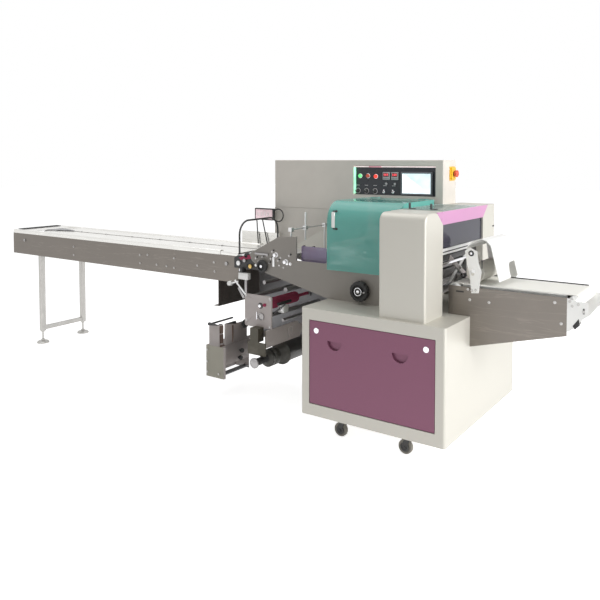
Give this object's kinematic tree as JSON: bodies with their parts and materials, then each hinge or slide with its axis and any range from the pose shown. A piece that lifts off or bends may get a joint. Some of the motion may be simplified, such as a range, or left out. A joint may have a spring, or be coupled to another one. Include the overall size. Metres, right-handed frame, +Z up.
{
  "type": "horizontal flow wrapper",
  "caption": "Pillow-pack wrapping machine with a chain infeed, bottom film carriage, bag former, hinged guard hood, rotary end-seal jaws, outfeed belt and console, on swivel casters.",
  "frame": {"origin": "centre of the bounding box at floor level", "axes": "+X along the product's travel from infeed to outfeed, -Y towards the operator, +Z up"},
  "size_m": [4.486, 0.998, 1.475],
  "materials": {
    "cream_paint": "fine texture",
    "plum_paint": "satin",
    "stainless": "brushed",
    "bright_steel": "fine brushed",
    "chrome": "polished",
    "black_panel": "matt",
    "screen": "gloss",
    "controls": "gloss",
    "red_plastic": "gloss",
    "teal_acrylic": "clear",
    "violet_acrylic": "clear",
    "smoked_acrylic": "clear",
    "black_plastic": "matt",
    "black_steel": "satin",
    "pale_rubber": "matt",
    "red_rubber": "matt",
    "white_belt": "matt",
    "white_paint": "satin",
    "grey_paint": "satin",
    "grey_steel": "machined"
  },
  "bodies": {
    "machine": {"cabinet_front_frame": "cream_paint", "cabinet_shell": "cream_paint", "front_panel": "plum_paint", "panel_locks": "chrome", "caster_mounts": "black_steel", "front_side_plate": "cream_paint", "rear_side_plate": "cream_paint", "cross_bars": "bright_steel", "electrical_cabinet": "cream_paint", "rear_housing": "cream_paint", "control_panel": "black_panel", "touch_screen": "screen", "panel_controls": "controls", "emergency_stop": "red_plastic", "front_column": "cream_paint", "rear_column": "cream_paint", "housing_roof": "cream_paint", "purple_fascia": "plum_paint", "smoked_screen": "smoked_acrylic", "jaw_top_guard": "teal_acrylic", "jaw_bearings": "bright_steel", "hood_hinges": "black_steel", "fin_seal_unit": "grey_steel", "infeed_side_plates": "stainless", "infeed_rails": "bright_steel", "infeed_deck": "bright_steel", "infeed_chain": "grey_steel", "infeed_shafts": "grey_steel", "infeed_stand": "stainless", "product_arch": "chrome", "counter_display": "black_plastic", "bag_former": "bright_steel", "wrapping_table": "bright_steel", "former_guard": "violet_acrylic", "film_rear_plate": "grey_paint", "film_front_plate": "grey_steel", "film_guide_rollers": "chrome", "tension_unit": "white_paint", "outfeed_side_plates": "stainless", "outfeed_end_brackets": "white_paint", "outfeed_bed": "bright_steel", "outfeed_belt": "white_belt", "press_plates": "white_paint", "press_cover": "white_paint"},
    "hood": {"guard_hood": "teal_acrylic"},
    "hand_wheel": {"hand_wheel": "black_plastic"},
    "upper_jaw": {"upper_jaw": "grey_steel"},
    "lower_jaw": {"lower_jaw": "grey_steel"},
    "film_reel": {"film_reel": "chrome"},
    "feed_roller": {"feed_roller": "red_rubber"},
    "press_roller": {"press_roller": "white_belt"},
    "caster_fork_1": {"caster_fork_1": "black_steel"},
    "caster_wheel_1": {"caster_wheel_1": "pale_rubber"},
    "caster_fork_2": {"caster_fork_2": "black_steel"},
    "caster_wheel_2": {"caster_wheel_2": "pale_rubber"},
    "caster_fork_3": {"caster_fork_3": "black_steel"},
    "caster_wheel_3": {"caster_wheel_3": "pale_rubber"},
    "caster_fork_4": {"caster_fork_4": "black_steel"},
    "caster_wheel_4": {"caster_wheel_4": "pale_rubber"}
  },
  "joints": [
    {"name": "hood_hinge", "type": "hinge", "parent": "machine", "child": "hood", "pos_m": [1.099, 0.22, 1.241], "axis": [-1, 0, 0], "range_deg": [0, 80]},
    {"name": "hand_wheel_turn", "type": "hinge", "parent": "machine", "child": "hand_wheel", "pos_m": [1.097, -0.234, 0.765], "axis": [0, 1, 0], "continuous": true},
    {"name": "upper_jaw_turn", "type": "hinge", "parent": "machine", "child": "upper_jaw", "pos_m": [1.449, 0.0115, 0.957], "axis": [0, 1, 0], "continuous": true},
    {"name": "lower_jaw_turn", "type": "hinge", "parent": "machine", "child": "lower_jaw", "pos_m": [1.449, 0.0115, 0.819], "axis": [0, 1, 0], "continuous": true},
    {"name": "film_reel_turn", "type": "hinge", "parent": "machine", "child": "film_reel", "pos_m": [0.432, 0.0115, 0.276], "axis": [0, 1, 0], "continuous": true},
    {"name": "feed_roller_turn", "type": "hinge", "parent": "machine", "child": "feed_roller", "pos_m": [0.437, 0.0115, 0.606], "axis": [0, 1, 0], "continuous": true},
    {"name": "press_roller_turn", "type": "hinge", "parent": "machine", "child": "press_roller", "pos_m": [1.706, 0.0115, 0.911], "axis": [0, 1, 0], "continuous": true},
    {"name": "caster_1_swivel", "type": "hinge", "parent": "machine", "child": "caster_fork_1", "pos_m": [1.077, -0.376, 0.095], "axis": [0, 0, 1], "continuous": true},
    {"name": "caster_1_roll", "type": "hinge", "parent": "caster_fork_1", "child": "caster_wheel_1", "pos_m": [1.055, -0.376, 0.0375], "axis": [0, 1, 0], "continuous": true},
    {"name": "caster_2_swivel", "type": "hinge", "parent": "machine", "child": "caster_fork_2", "pos_m": [1.457, -0.376, 0.095], "axis": [0, 0, 1], "continuous": true},
    {"name": "caster_2_roll", "type": "hinge", "parent": "caster_fork_2", "child": "caster_wheel_2", "pos_m": [1.435, -0.376, 0.0375], "axis": [0, 1, 0], "continuous": true},
    {"name": "caster_3_swivel", "type": "hinge", "parent": "machine", "child": "caster_fork_3", "pos_m": [1.077, 0.379, 0.095], "axis": [0, 0, 1], "continuous": true},
    {"name": "caster_3_roll", "type": "hinge", "parent": "caster_fork_3", "child": "caster_wheel_3", "pos_m": [1.055, 0.379, 0.0375], "axis": [0, 1, 0], "continuous": true},
    {"name": "caster_4_swivel", "type": "hinge", "parent": "machine", "child": "caster_fork_4", "pos_m": [1.457, 0.379, 0.095], "axis": [0, 0, 1], "continuous": true},
    {"name": "caster_4_roll", "type": "hinge", "parent": "caster_fork_4", "child": "caster_wheel_4", "pos_m": [1.435, 0.379, 0.0375], "axis": [0, 1, 0], "continuous": true}
  ],
  "couplings": [
    {"joint": "lower_jaw_turn", "follows": "upper_jaw_turn", "ratio": -1}
  ]
}
